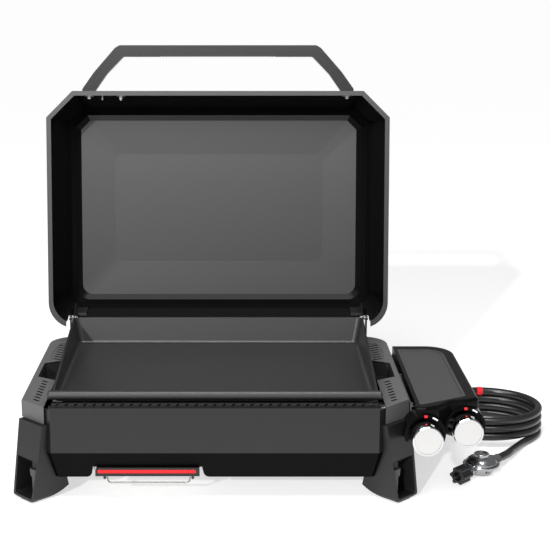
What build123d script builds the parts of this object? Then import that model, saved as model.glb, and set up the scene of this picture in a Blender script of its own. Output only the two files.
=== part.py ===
"""Two-burner portable gas griddle with an open lid, side control box, hose and regulator.

Millimetres.  +Z up, the front faces -Y.  While modelling, x = 0 is the middle of the
cook box, y = 0 is where the straight sides start behind the front corner facets and
z = 0 is the ground.  Every finished piece is moved by -X0, -Y0 so that the written frame
has its origin at the middle of the footprint of the griddle without its hose.
"""
from build123d import *
import math
import os

os.makedirs("parts", exist_ok=True)

# ---------------------------------------------------------------- driving dimensions
X0, Y0 = 51.5, 210.85       # origin shift: middle of the bounding box without the hose
W = 655.0                   # width over the side decks
HW = W / 2
CH = 50.0                   # front corner facet
DS = 355.0                  # length of the straight sides
YF, YR = -CH, DS + 50.0     # front and rear face
RR = 50.0                   # rear corner radius
HT = 168.0                  # deck height above the ground
Z_CREASE = 90.0             # where the cook box starts to taper
Z_SKIRT = 40.0              # lower edge of the cook box
Z_FB = 165.0                # upper edge of the cook box wall
K = math.sqrt(2) - 1

PL_X = 279.5                # griddle plate half width at the rim
PL_YF, PL_YR = -28.0, 347.0
PL_Z = 171.0                # underside of the griddle plate
PL_T = 3.0
PL_BACK, PL_FRONT = 222.0, 191.0

LID_GAP = 3.5               # closed lid rim above the deck
LID_Y, LID_Z = 390.15, HT + 41.05      # lid hinge axis
LID_OPEN = 97.1             # opening angle, degrees
HINGE_X = 289.0

BOX_L, BOX_R = 335.5, 447.0            # control box left and right
BOX_B = 111.0                          # control box lower edge
BOX_YR = 337.0
POD_R = 34.5
POD1 = (349.4, -50.0)                  # knob axis x, pod front plane y
POD2 = (422.3, -8.0)
POD_Z = 123.0

TRAY_X0, TRAY_X1 = -201.0, -26.0       # drip tray front plate
HOSE_D = 15.0
BODY_CLEAR = 0.4
COIL_X, COIL_Y, COIL_A, COIL_B = 521.0, 311.0, 95.0, 82.0
REG = (470.0, 88.0)                    # regulator middle
REG_U = (0.70, 0.714)                  # direction from the cylinder nut to the hose

SHIFT = Location((-X0, -Y0, 0))


# the lid's own frame: its local axes are the row axes when the lid is closed
_a = math.radians(LID_OPEN)
LIDP = Plane(origin=(0, LID_Y, LID_Z), x_dir=(1, 0, 0), z_dir=(0, math.sin(_a), math.cos(_a)))
RIM = HT + LID_GAP - LID_Z             # local height of the lid's rim plane
HANDLE_H = RIM + 17.0                  # local height of the handle bolts
WALL_Y = YF + 7.0                      # closed y of the lid's front wall
BOLT_X = 246.5                         # handle bolts


def lid_plane(h):
    """Plane parallel to the lid's rim, h above it as the lid lies closed; local y = closed y - LID_Y."""
    return LIDP.offset(RIM + h)


def outline_face(i=0.0, fi=None, rr=RR, dy=0.0):
    """Cook box outline inset by i, front face by fi, as a flat sketch."""
    fi = i if fi is None else fi
    hw, yf, yr = HW - i, YF + fi, YR - i
    s2 = math.sqrt(2)
    x_f = min(HW - i * s2 + yf, hw - 12)
    y_s = max(-(HW - i * s2) + hw, yf + 12)
    with BuildSketch() as o:
        with BuildLine():
            Polyline((-hw, y_s + dy), (-x_f, yf + dy), (x_f, yf + dy), (hw, y_s + dy),
                     (hw, yr + dy), (-hw, yr + dy), close=True)
        make_face()
        fillet(o.vertices().group_by(Axis.Y)[-1], rr)
    return o.sketch


# outlines used below: straight walls, tapered walls, decks
WALL_OUT = outline_face(3.2, 0.5, RR - 3.2)
TAPER_OUT = outline_face(25.0, 22.5, 28.0)
WALL_IN = outline_face(5.2, 2.5, RR - 5.2)
TAPER_IN = outline_face(27.4, 24.9, 26.0)
PAN_OUT = outline_face(16.6, 14.1, 33)
DECK_OUT = outline_face(0)
DECK_INNER = outline_face(2.5, 2.5, RR - 2.5)
GAP_UP = outline_face(3.2 - BODY_CLEAR, 0.5 - BODY_CLEAR, RR - 3.2)
GAP_LOW = outline_face(25.0 - BODY_CLEAR - 0.4, 22.1 - BODY_CLEAR, 28.0)
RIM_OUT = outline_face(0, None, 50, dy=-LID_Y)

# ---------------------------------------------------------------- cook box
with BuildPart() as box_outer:
    with BuildSketch(Plane.XY.offset(Z_CREASE)):
        add(WALL_OUT)
    extrude(amount=Z_FB - Z_CREASE)
with BuildPart() as box_lower:
    with BuildSketch(Plane.XY.offset(Z_SKIRT)):
        add(TAPER_OUT)
    with BuildSketch(Plane.XY.offset(Z_CREASE)):
        add(WALL_OUT)
    loft(ruled=True)
with BuildPart() as box_inner:
    with BuildSketch(Plane.XY.offset(Z_CREASE)):
        add(WALL_IN)
    extrude(amount=Z_FB - Z_CREASE + 1)
with BuildPart() as box_inner_low:
    with BuildSketch(Plane.XY.offset(Z_SKIRT - 1)):
        add(TAPER_IN)
    with BuildSketch(Plane.XY.offset(Z_CREASE)):
        add(WALL_IN)
    loft(ruled=True)

with BuildPart() as firebox:
    add(box_outer.part)
    add(box_lower.part)
    add(box_inner.part, mode=Mode.SUBTRACT)
    add(box_inner_low.part, mode=Mode.SUBTRACT)
    with Locations((0, -48.5, Z_FB + 1.6)):
        Box(552, 2.0, 3.2)
    # drip tray notch with curved shoulders
    with BuildSketch(Plane.XZ.offset(10)) as notch:
        with BuildLine():
            l1 = Line((-218, 38), (-218, Z_SKIRT))
            l2 = Spline((-218, Z_SKIRT), (-210, 43.5), (-205, 62), tangents=[(1, 0), (0.25, 1)])
            l3 = Line((-205, 62), (-22, 62))
            l4 = Spline((-22, 62), (-17, 43.5), (-9, Z_SKIRT), tangents=[(0.25, -1), (1, 0)])
            l5 = Line((-9, Z_SKIRT), (-9, 38))
            l6 = Line((-9, 38), (-218, 38))
        make_face()
    extrude(amount=60, mode=Mode.SUBTRACT)
    # venturi openings in the right wall and tie holes for the hinge brackets
    with BuildSketch(Plane.YZ.offset(315)):
        with Locations((95, 118), (265, 118)):
            Circle(11)
    extrude(amount=20, mode=Mode.SUBTRACT)
firebox.part.label = "firebox"
export_step(firebox.part.moved(SHIFT), "parts/firebox.step")

with BuildPart() as firebox_floor:
    with BuildSketch(Plane.XY.offset(66)):
        add(PAN_OUT)
        with Locations((-113, 20)):
            SlotOverall(90, 40, mode=Mode.SUBTRACT)
    extrude(amount=2)
    with BuildSketch(Plane.XY.offset(58)):
        with Locations((-113, 20)):
            SlotOverall(93, 43)
            SlotOverall(90, 40, mode=Mode.SUBTRACT)
    extrude(amount=8)
firebox_floor.part.label = "firebox_floor"
export_step(firebox_floor.part.moved(SHIFT), "parts/firebox_floor.step")

# ---------------------------------------------------------------- decks
DECK_IN = 284.0


def deck_cutter(side):
    """Slots, hand recess and rear vent of a side deck, as one cutting solid."""
    s = side
    with BuildPart() as cut:
        with BuildSketch(Plane.XY.offset(HT - 5)):
            for k in range(8):
                with Locations(Location((s * 301.5, -4.4 + 15.2 * k, 0), s * 45)):
                    SlotOverall(16, 4.6)
            for k in range(7):
                with Locations(Location((s * 298.5, 246 + 15.2 * k, 0), s * 32)):
                    SlotOverall(20, 4.6)
            with BuildLine():
                Polyline((s * 318, 132), (s * 283, 108.7), (s * 283, 236.4), (s * 318, 217), close=True)
            make_face()
        extrude(amount=8)
        # shallow arched pocket round the rear vent
        with BuildSketch(Plane.XY.offset(HT - 0.9)):
            with BuildLine():
                a = ThreePointArc((s * 308, 231), (s * 312, 290), (s * 305, 350))
                Polyline(a @ 1, (s * 283, 350), (s * 283, 238), (s * 308, 231))
            make_face()
        extrude(amount=2)
        # slot that the lid hinge bracket stands in
        with Locations((s * HINGE_X, 390, HT)):
            Box(5.0, 17.4, 12.0)
    return cut.part


for side, nm in ((-1, "left"), (1, "right")):
    with BuildPart() as deck:
        with BuildSketch(Plane.XY.offset(HT - 30)):
            add(DECK_OUT)
        extrude(amount=30)
        with BuildSketch(Plane.XY.offset(HT - 31)):
            add(DECK_INNER)
        extrude(amount=28.5, mode=Mode.SUBTRACT)
        with Locations((-side * (400 - DECK_IN), 200, HT - 15)):
            Box(800, 700, 40, mode=Mode.SUBTRACT)
        add(deck_cutter(side), mode=Mode.SUBTRACT)
        fillet(deck.edges().filter_by(Axis.Y).group_by(Axis.Z)[-1].sort_by(Axis.X)[0 if side < 0 else -1], 1.6)
    deck.part.label = f"side_deck_{nm}"
    export_step(deck.part.moved(SHIFT), f"parts/side_deck_{nm}.step")

with BuildPart() as cups:
    for side in (-1, 1):
        with BuildSketch(Plane.XY.offset(HT - 26)):
            with BuildLine():
                Polyline((side * 317.6, 132.3), (side * 284.6, 110.3), (side * 284.6, 235), (side * 317.6, 216.6), close=True)
            make_face()
        extrude(amount=23.2)
        with BuildSketch(Plane.XY.offset(HT - 24.5)):
            with BuildLine():
                Polyline((side * 313, 136), (side * 294, 124), (side * 294, 222), (side * 313, 212), close=True)
            make_face()
        with BuildSketch(Plane.XY.offset(HT - 2.7)):
            with BuildLine():
                Polyline((side * 316.1, 133.2), (side * 286.1, 113.2), (side * 286.1, 232.4), (side * 316.1, 215.6), close=True)
            make_face()
        loft(ruled=True, mode=Mode.SUBTRACT)
cups.part.label = "finger_cups"
export_step(cups.part.moved(SHIFT), "parts/finger_cups.step")

with BuildPart() as rear_deck:
    with BuildSketch(Plane.XY.offset(HT - 30)):
        with Locations((0, 378)):
            Rectangle(2 * DECK_IN - 0.8, 54)
    extrude(amount=30)
    with Locations((0, 376.5, HT - 17.5)):
        Box(2 * DECK_IN + 10, 52, 30, mode=Mode.SUBTRACT)
    with BuildSketch(Plane.XY.offset(HT - 5)):
        with GridLocations(36, 1, 13, 1):
            with Locations((0, 383)):
                SlotOverall(24, 6)
    extrude(amount=8, mode=Mode.SUBTRACT)
rear_deck.part.label = "rear_deck"
export_step(rear_deck.part.moved(SHIFT), "parts/rear_deck.step")

# ventilated trim under the griddle's front lip
with BuildPart() as front_vent:
    with Locations((0, -38.2, HT + 3.3)):
        Box(543, 5.4, 5.4)
    with Locations((0, -41.5, HT - 0.5)):
        Box(553, 12.0, 2.2)
    with BuildSketch(Plane.XZ.offset(60)) as holes:
        for k in range(35):
            with Locations(Location((-261.8 + 15.4 * k, HT + 3.5, 0), 20)):
                SlotOverall(6.4, 2.7)
    extrude(amount=-30, mode=Mode.SUBTRACT)
front_vent.part.label = "front_vent_trim"
export_step(front_vent.part.moved(SHIFT), "parts/front_vent_trim.step")

# ---------------------------------------------------------------- griddle plate
with BuildPart() as plate_in:
    with BuildSketch(Plane.XY.offset(PL_Z + PL_T)):
        with Locations((0, (PL_YF + 12.5 + PL_YR - 12.5) / 2)):
            Rectangle(2 * (PL_X - 13.0), PL_YR - PL_YF - 25)
    with BuildSketch(Plane.XY.offset(240)):
        with Locations((0, (PL_YF + PL_YR) / 2)):
            Rectangle(2 * (PL_X - 0.8), PL_YR - PL_YF - 1.6)
    loft(ruled=True)
    fillet([e for e in plate_in.edges() if abs(e.tangent_at(0.5).Z) > 0.5], 10)
    fillet(plate_in.edges().group_by(Axis.Z)[0], 6)
with BuildPart() as griddle_plate:
    with BuildSketch(Plane.XY.offset(PL_Z)):
        with Locations((0, (PL_YF + PL_YR) / 2)):
            Rectangle(2 * (PL_X - 9.5), PL_YR - PL_YF - 19)
    with BuildSketch(Plane.XY.offset(226)):
        with Locations((0, (PL_YF + PL_YR) / 2)):
            Rectangle(2 * PL_X, PL_YR - PL_YF)
    loft(ruled=True)
    fillet([e for e in griddle_plate.edges() if abs(e.tangent_at(0.5).Z) > 0.5], 12)
    add(plate_in.part, mode=Mode.SUBTRACT)
    # sloping wall tops
    with BuildSketch(Plane.YZ.offset(-400)):
        with BuildLine():
            Polyline((PL_YF - 20, PL_FRONT - 6.0), (PL_YR - 6, PL_BACK), (PL_YR + 20, PL_BACK), (PL_YR + 20, 250), (PL_YF - 20, 250), close=True)
        make_face()
    extrude(amount=800, mode=Mode.SUBTRACT)
    # rolled front lip
    with BuildSketch(Plane.YZ.offset(-PL_X)):
        with Locations((PL_YF + 4.5, PL_FRONT - 8.0)):
            Circle(8.0)
    extrude(amount=2 * PL_X)
    fillet(griddle_plate.edges().filter_by(GeomType.CIRCLE).filter_by(lambda e: abs(e.radius - 8) < 0.01 and abs(abs(e.center().X) - PL_X) < 1), 3.5)
    # grease outlet
    with BuildSketch(Plane.XY.offset(PL_Z - 1)):
        with Locations((-113, -2)):
            SlotOverall(70, 12)
    extrude(amount=8, mode=Mode.SUBTRACT)
griddle_plate.part.label = "griddle_plate"
export_step(griddle_plate.part.moved(SHIFT), "parts/griddle_plate.step")

# rails that carry the griddle plate
with BuildPart() as plate_rails:
    for x in (-262, 262):
        with Locations((x, 160, PL_Z - 2.3)):
            Box(10, 340, 4)
        for y in (10, 310):
            with Locations((x + (8 if x > 0 else -8), y, PL_Z - 6)):
                Box(10, 14, 4)
    fillet(plate_rails.edges().filter_by(Axis.Y).group_by(Axis.Z)[-1], 1)
plate_rails.part.label = "plate_rails"
export_step(plate_rails.part.moved(SHIFT), "parts/plate_rails.step")

# ---------------------------------------------------------------- burners
for nm, y in (("front", 95.0), ("rear", 265.0)):
    with BuildPart() as burner:
        with BuildSketch(Plane.YZ.offset(-235)):
            with Locations((y, 118)):
                Circle(13)
        extrude(amount=530)
        with BuildSketch(Plane.YZ.offset(290)):
            with Locations((y, 118)):
                Circle(9.5)
        extrude(amount=41)
        with BuildSketch(Plane.YZ.offset(-233.5)):
            with Locations((y, 118)):
                Circle(11.8)
        extrude(amount=527, mode=Mode.SUBTRACT)
        with BuildSketch(Plane.YZ.offset(285)):
            with Locations((y, 118)):
                Circle(8.2)
        extrude(amount=50, mode=Mode.SUBTRACT)
        # gas ports along both upper flanks
        with BuildSketch(Plane.XY.offset(110)):
            with GridLocations(22, 19, 22, 2):
                with Locations((10, y)):
                    Circle(1.6)
        extrude(amount=30, mode=Mode.SUBTRACT)
        # air shutter windows
        with BuildSketch(Plane.XY.offset(118)):
            with Locations((306, y)):
                SlotOverall(14, 6)
        extrude(amount=20, mode=Mode.SUBTRACT)
    burner.part.label = f"burner_{nm}"
    export_step(burner.part.moved(SHIFT), f"parts/burner_{nm}.step")

with BuildPart() as burner_bracket:
    for x in (-238.2, -140, 140):
        with BuildSketch(Plane.YZ.offset(x)):
            with Locations((180, 93.2)):
                Rectangle(210, 48)
            with Locations((95, 118), (265, 118)):
                Circle(13.4, mode=Mode.SUBTRACT)
            with Locations((95, 128), (265, 128)):
                Rectangle(26.8, 20, mode=Mode.SUBTRACT)
            with Locations((180, 100)):
                Rectangle(90, 20, mode=Mode.SUBTRACT)
        extrude(amount=1.5)
        with Locations((x + 6, 180, 69.25)):
            Box(12, 210, 2.0)
burner_bracket.part.label = "burner_brackets"
export_step(burner_bracket.part.moved(SHIFT), "parts/burner_brackets.step")

with BuildPart() as heat_tents:
    for y in (95.0, 265.0):
        with BuildSketch(Plane.YZ.offset(-215)):
            with BuildLine():
                Polyline((y - 26, 138), (y, 152), (y + 26, 138), (y + 26, 139.4), (y, 153.6), (y - 26, 139.4), close=True)
            make_face()
        extrude(amount=430)
        for x in (-215, 213.5):
            with BuildSketch(Plane.YZ.offset(x)):
                with BuildLine():
                    Polyline((y - 24, 133), (y - 24, 139.6), (y, 152.6), (y + 24, 139.6), (y + 24, 133), close=True)
                make_face()
            extrude(amount=1.5)
heat_tents.part.label = "heat_tents"
export_step(heat_tents.part.moved(SHIFT), "parts/heat_tents.step")

with BuildPart() as electrodes:
    for y in (95.0, 265.0):
        with BuildSketch(Plane.YZ.offset(236)):
            with Locations((y + 22, 128)):
                Circle(3.5)
        extrude(amount=36)
        with BuildSketch(Plane.YZ.offset(222)):
            with Locations((y + 22, 128)):
                Circle(1.1)
        extrude(amount=15)
        with Locations((250, y + 22, 99)):
            Box(1.5, 12, 60)
        with Locations((256, y + 22, 69.3)):
            Box(13, 12, 2)
electrodes.part.label = "igniter_electrodes"
export_step(electrodes.part.moved(SHIFT), "parts/igniter_electrodes.step")

# ---------------------------------------------------------------- legs
with BuildPart() as body_gap_up:
    with BuildSketch(Plane.XY.offset(Z_CREASE)):
        add(GAP_UP)
    extrude(amount=60)
with BuildPart() as body_gap_low:
    with BuildSketch(Plane.XY.offset(Z_SKIRT - 0.6)):
        add(GAP_LOW)
    with BuildSketch(Plane.XY.offset(Z_CREASE)):
        add(GAP_UP)
    loft(ruled=True)

PAD_H = 2.0
R2 = 1 / math.sqrt(2)
FL_MID = Vector(-302.5, -25.0, 0)          # middle of the front left facet
FL_T = Vector(R2, -R2, 0)                  # along the facet, towards the front
FL_IN = Vector(R2, R2, 0)                  # into the body
REAR = (-10.4, 365.4)                      # front leg mirrored front to back, then moved by this
leg_side = Plane(origin=FL_MID - FL_T * 36, x_dir=FL_IN, z_dir=FL_T)
leg_front = Plane(origin=FL_MID - FL_IN * 60, x_dir=FL_T, z_dir=FL_IN * -1)
with BuildPart() as leg_scoop:
    with BuildSketch(leg_front) as f2:
        with BuildLine():
            Polyline((-28.5, 78), (25, 74), (15.5, PAD_H + 7), (-29.5, PAD_H + 7), close=True)
        make_face()
        fillet(f2.vertices(), 5)
    extrude(amount=-140)
    with BuildSketch(leg_side):
        with BuildLine():
            Polyline((-40, 82), (-17, 76), (15, 52), (16, PAD_H + 7), (-40, PAD_H + 7), close=True)
        make_face()
    extrude(amount=72, mode=Mode.INTERSECT)
with BuildPart() as leg_blank:
    with BuildSketch(leg_side):
        with BuildLine():
            Polyline((-8.5, HT - 30.5), (40, HT - 30.5), (40, 60), (52.5, 17))
            ThreePointArc((52.5, 17), (20, PAD_H + 3.2), (-6, PAD_H))
            Polyline((-6, PAD_H), (-20, PAD_H), (-23.6, 6), (-8.5, HT - 30.5))
        make_face()
    extrude(amount=72)
    with BuildSketch(leg_front) as f:
        with BuildLine():
            Polyline((-32, HT - 30.5), (31.5, HT - 30.5), (19.5, PAD_H), (-35, PAD_H), close=True)
        make_face()
        fillet(f.vertices().group_by(Axis.Y)[0], 9)
    extrude(amount=-140, mode=Mode.INTERSECT)
    add(leg_scoop.part, mode=Mode.SUBTRACT)
    with BuildSketch(Plane(origin=FL_MID + FL_T * 2 + FL_IN * 3 + Vector(0, 0, 44), x_dir=FL_T, z_dir=(0, 0, 1))):
        Circle(10)
    extrude(amount=30)
with BuildPart() as leg_room:
    with BuildSketch(leg_side.offset(-1.2)):
        with BuildLine():
            Polyline((-9.9, HT - 29.4), (6, HT - 29.4), (6, 4), (-25.0, 4), close=True)
        make_face()
    extrude(amount=74.4)
leg_room_right = leg_room.part.mirror(Plane.YZ)
leg_mirror = leg_blank.part.mirror(Plane.XZ).moved(Location((REAR[0], REAR[1], 0)))

with BuildPart() as leg_front_left:
    add(leg_blank.part)
    add(body_gap_up.part, mode=Mode.SUBTRACT)
    add(body_gap_low.part, mode=Mode.SUBTRACT)
with BuildPart() as leg_front_right:
    add(leg_front_left.part.mirror(Plane.YZ))
with BuildPart() as leg_rear_left:
    add(leg_mirror)
    add(body_gap_up.part, mode=Mode.SUBTRACT)
    add(body_gap_low.part, mode=Mode.SUBTRACT)
with BuildPart() as leg_rear_right:
    add(leg_rear_left.part.mirror(Plane.YZ))
leg_front_left.part.label = "leg_front_left"
export_step(leg_front_left.part.moved(SHIFT), "parts/leg_front_left.step")
leg_front_right.part.label = "leg_front_right"
export_step(leg_front_right.part.moved(SHIFT), "parts/leg_front_right.step")
leg_rear_left.part.label = "leg_rear_left"
export_step(leg_rear_left.part.moved(SHIFT), "parts/leg_rear_left.step")
leg_rear_right.part.label = "leg_rear_right"
export_step(leg_rear_right.part.moved(SHIFT), "parts/leg_rear_right.step")

boss = FL_MID + FL_T * 2 + FL_IN * 3
pad = FL_MID - FL_IN * 12 - FL_T * 7
LEG_POS = []
for sx in (1, -1):
    for rear in (False, True):
        LEG_POS.append((sx, rear))


def leg_place(p, sx, rear):
    x, y = p.X, p.Y
    if rear:
        x, y = x + REAR[0], -y + REAR[1]
    return (x if sx > 0 else -x, y)


with BuildPart() as foot_pads:
    for sx, rear in LEG_POS:
        px, py = leg_place(pad, sx, rear)
        ang = -45 if (sx > 0) != rear else 45
        with BuildSketch(Plane.XY):
            with Locations(Location((px, py, 0), ang)):
                Rectangle(34, 13)
        extrude(amount=PAD_H - 0.02)
    fillet(foot_pads.edges().filter_by(Axis.Z), 4)
foot_pads.part.label = "foot_pads"
export_step(foot_pads.part.moved(SHIFT), "parts/foot_pads.step")

# ---------------------------------------------------------------- drip tray
with BuildPart() as drip_pan:
    with BuildSketch(Plane.XY.offset(47)) as s:
        with Locations((-113.5, 78)):
            Rectangle(168, 228)
        fillet(s.vertices(), 10)
    extrude(amount=9.5)
    with BuildSketch(Plane.XY.offset(48.2)) as s:
        with Locations((-113.5, 78)):
            Rectangle(165.6, 225.6)
        fillet(s.vertices(), 9)
    extrude(amount=12, mode=Mode.SUBTRACT)
    with BuildSketch(Plane.XY.offset(55.3)) as s:
        with Locations((-113.5, 78)):
            Rectangle(174, 228)
            Rectangle(168, 222, mode=Mode.SUBTRACT)
    extrude(amount=1.2)
drip_pan.part.label = "drip_pan"
export_step(drip_pan.part.moved(SHIFT), "parts/drip_pan.step")

with BuildPart() as tray_front:
    with BuildSketch(Plane.XZ.offset(36.3)) as s:
        with Locations(((TRAY_X0 + TRAY_X1) / 2, 53.8)):
            Rectangle(TRAY_X1 - TRAY_X0, 15)
        fillet(s.vertices().group_by(Axis.Y)[-1], 5)
    extrude(amount=5.5)
    with BuildSketch(Plane.XZ.offset(39.8)) as s:
        with Locations(((TRAY_X0 + TRAY_X1) / 2 - 1, 54.6)):
            SlotOverall(166.4, 6.6)
    extrude(amount=4, mode=Mode.SUBTRACT)
    with Locations((-185.5, -39, 43.9), (-37.5, -39, 43.9)):
        Box(3, 5, 5.4)
    with BuildSketch(Plane.YZ.offset(-190)):
        with Locations((-39, 43)):
            Circle(1.75)
    extrude(amount=160, mode=Mode.SUBTRACT)
tray_front.part.label = "drip_tray_front"
export_step(tray_front.part.moved(SHIFT), "parts/drip_tray_front.step")

with BuildPart() as tray_stripe:
    with BuildSketch(Plane.XZ.offset(40.0)) as s:
        with Locations(((TRAY_X0 + TRAY_X1) / 2 - 1, 54.6)):
            SlotOverall(166.0, 6.2)
    extrude(amount=2.2)
    fillet(tray_stripe.faces().sort_by(Axis.Y)[0].edges(), 0.6)
tray_stripe.part.label = "drip_tray_stripe"
export_step(tray_stripe.part.moved(SHIFT), "parts/drip_tray_stripe.step")

with BuildPart() as bail:
    with BuildLine() as path:
        FilletPolyline((-188.5, -39, 43), (-180.5, -39, 43), (-180.5, -39, 34.4), (-42.5, -39, 34.4), (-42.5, -39, 43), (-34.5, -39, 43), radius=(1.7, 5.5, 5.5, 1.7))
    with BuildSketch(Plane(origin=(-188.5, -39, 43), z_dir=path.line % 0)):
        Circle(1.4)
    sweep()
bail.part.label = "drip_tray_bail"
export_step(bail.part.moved(SHIFT), "parts/drip_tray_bail.step")

with BuildPart() as rails:
    for x, d in ((-205.5, 1), (-21.5, -1)):
        with BuildSketch(Plane.XZ.offset(18)):
            with Locations((x, 57.5)):
                Rectangle(1.5, 16.6)
            with Locations((x + d * 3.6, 54.2)):
                Rectangle(7.2, 1.5)
            with Locations((x - d * 4.0, 65.05)):
                Rectangle(8.0, 1.5)
        extrude(amount=-208)
rails.part.label = "drip_tray_rails"
export_step(rails.part.moved(SHIFT), "parts/drip_tray_rails.step")

# ---------------------------------------------------------------- lid
LID_OUT = [(3.0, 7.0), (30.0, 7.0), (75.0, 24.0), (86.0, 28.0), (96.0, 34.5), (104.0, 43.0), (109.5, 54.0), (112.0, 120.0)]
LID_IN = [(-1.0, 8.8), (30.4, 8.8), (74.6, 25.9), (85.2, 29.8), (94.7, 36.0), (102.3, 44.2), (107.4, 54.6), (109.8, 121.0)]


def rrad(i):
    return max(50 - 0.55 * i, 16)


LID_OUT = [(h, outline_face(i, None, rrad(i)).moved(Location((0, -LID_Y, 0)))) for h, i in LID_OUT]
LID_IN = [(h, outline_face(i, None, rrad(i)).moved(Location((0, -LID_Y, 0)))) for h, i in LID_IN]
with BuildPart() as lid_outer:
    for h, face in LID_OUT:
        with BuildSketch(lid_plane(h)):
            add(face)
    loft(ruled=True)
with BuildPart() as lid_inner:
    for h, face in LID_IN:
        with BuildSketch(lid_plane(h)):
            add(face)
    loft(ruled=True)
with BuildPart() as lid:
    with BuildSketch(lid_plane(0)):
        add(RIM_OUT)
    extrude(amount=3.5)
    add(lid_outer.part)
    add(lid_inner.part, mode=Mode.SUBTRACT)
    # slots the hinge brackets pass through
    for s in (-1, 1):
        with BuildSketch(lid_plane(-2)):
            with Locations((s * (HINGE_X - 3.3), 398 - LID_Y)):
                Rectangle(17, 24)
        extrude(amount=52, mode=Mode.SUBTRACT)
    # handle bolt, badge stud and locating pin holes through the front wall
    with BuildSketch(Plane(origin=Vector(0, LID_Y, LID_Z) + LIDP.y_dir * (-35 - LID_Y), x_dir=(1, 0, 0), z_dir=LIDP.y_dir * -1)):
        with Locations((-BOLT_X, HANDLE_H), (BOLT_X, HANDLE_H)):
            Circle(2.9)
        with Locations((-186, HANDLE_H)):
            Circle(3.2)
        with Locations((-221, HANDLE_H - 4)):
            Circle(2.0)
    extrude(amount=14, mode=Mode.SUBTRACT)
lid.part.label = "lid_shell"
export_step(lid.part.moved(SHIFT), "parts/lid_shell.step")

def lid_yz(x):
    """Plane across the lid at x; its local axes are the lid's closed y and z from the hinge axis."""
    return Plane(origin=Vector(x, LID_Y, LID_Z), x_dir=LIDP.y_dir, z_dir=(1, 0, 0))


def lid_front(dy):
    """Plane parallel to the lid's front wall at closed y = dy; local x is x, local y is closed z from the hinge axis."""
    org = Vector(0, LID_Y, LID_Z) + LIDP.y_dir * (dy - LID_Y)
    return Plane(origin=org, x_dir=(1, 0, 0), z_dir=LIDP.y_dir * -1)


with BuildPart() as lid_handle:
    with BuildSketch(lid_plane(8)) as s:
        with BuildLine():
            Polyline((-259, WALL_Y - LID_Y), (-259, -54 - LID_Y), (-236, -86 - LID_Y), (-196, -131.5 - LID_Y),
                     (-187.5, -136.5 - LID_Y), (187.5, -136.5 - LID_Y), (196, -131.5 - LID_Y),
                     (236, -86 - LID_Y), (259, -54 - LID_Y), (259, WALL_Y - LID_Y),
                     (235, WALL_Y - LID_Y), (233, -52 - LID_Y), (212, -82 - LID_Y), (180, -115 - LID_Y),
                     (-180, -115 - LID_Y), (-212, -82 - LID_Y), (-233, -52 - LID_Y), (-235, WALL_Y - LID_Y), close=True)
        make_face()
        fillet(s.vertices().filter_by(lambda v: v.Y < -52 - LID_Y), 6)
    extrude(amount=18)
    chamfer(lid_handle.faces().sort_by(lambda f: f.center().dot(LIDP.z_dir))[-1].edges().filter_by(lambda e: e.center().Z > 560), 3)
    # grip ribs under the bar
    with BuildSketch(lid_plane(4)):
        with Locations((0, -115 - LID_Y)):
            with GridLocations(5.8, 1, 38, 1):
                Rectangle(2.2, 2.4)
    extrude(amount=26, mode=Mode.SUBTRACT)
    with BuildSketch(lid_front(WALL_Y - 14)):
        with Locations((-BOLT_X, HANDLE_H), (BOLT_X, HANDLE_H)):
            Circle(2.6)
    extrude(amount=-20, mode=Mode.SUBTRACT)
lid_handle.part.label = "lid_handle"
export_step(lid_handle.part.moved(SHIFT), "parts/lid_handle.step")

with BuildPart() as handle_bolts:
    with BuildSketch(lid_front(WALL_Y + 1.8)):
        with Locations((-BOLT_X, HANDLE_H), (BOLT_X, HANDLE_H)):
            Circle(10.5)
    extrude(amount=-1.6)
    with BuildSketch(lid_front(WALL_Y + 3.4)):
        with Locations((-BOLT_X, HANDLE_H), (BOLT_X, HANDLE_H)):
            RegularPolygon(5.0, 6)
    extrude(amount=-4.2)
    with BuildSketch(lid_front(WALL_Y - 12)):
        with Locations((-BOLT_X, HANDLE_H), (BOLT_X, HANDLE_H)):
            Circle(2.5)
    extrude(amount=-16)
    with BuildSketch(lid_front(WALL_Y + 1.8)):
        with Locations((-186, HANDLE_H)):
            Circle(10)
    extrude(amount=-1.5)
    with BuildSketch(lid_front(WALL_Y + 3.3)):
        with Locations((-186, HANDLE_H)):
            RegularPolygon(5.2, 6)
    extrude(amount=-5)
    with BuildSketch(lid_front(WALL_Y + 8.3)):
        with Locations((-186, HANDLE_H)):
            Circle(3.0)
    extrude(amount=-2.4)
    with BuildSketch(lid_front(WALL_Y + 0.2)):
        with Locations((-186, HANDLE_H)):
            Circle(3.0)
    extrude(amount=-2)
    with BuildSketch(lid_front(WALL_Y + 0.2)):
        with Locations((-221, HANDLE_H - 4)):
            Circle(1.8)
    extrude(amount=-9.6)
handle_bolts.part.label = "lid_fasteners"
export_step(handle_bolts.part.moved(SHIFT), "parts/lid_fasteners.step")

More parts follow.
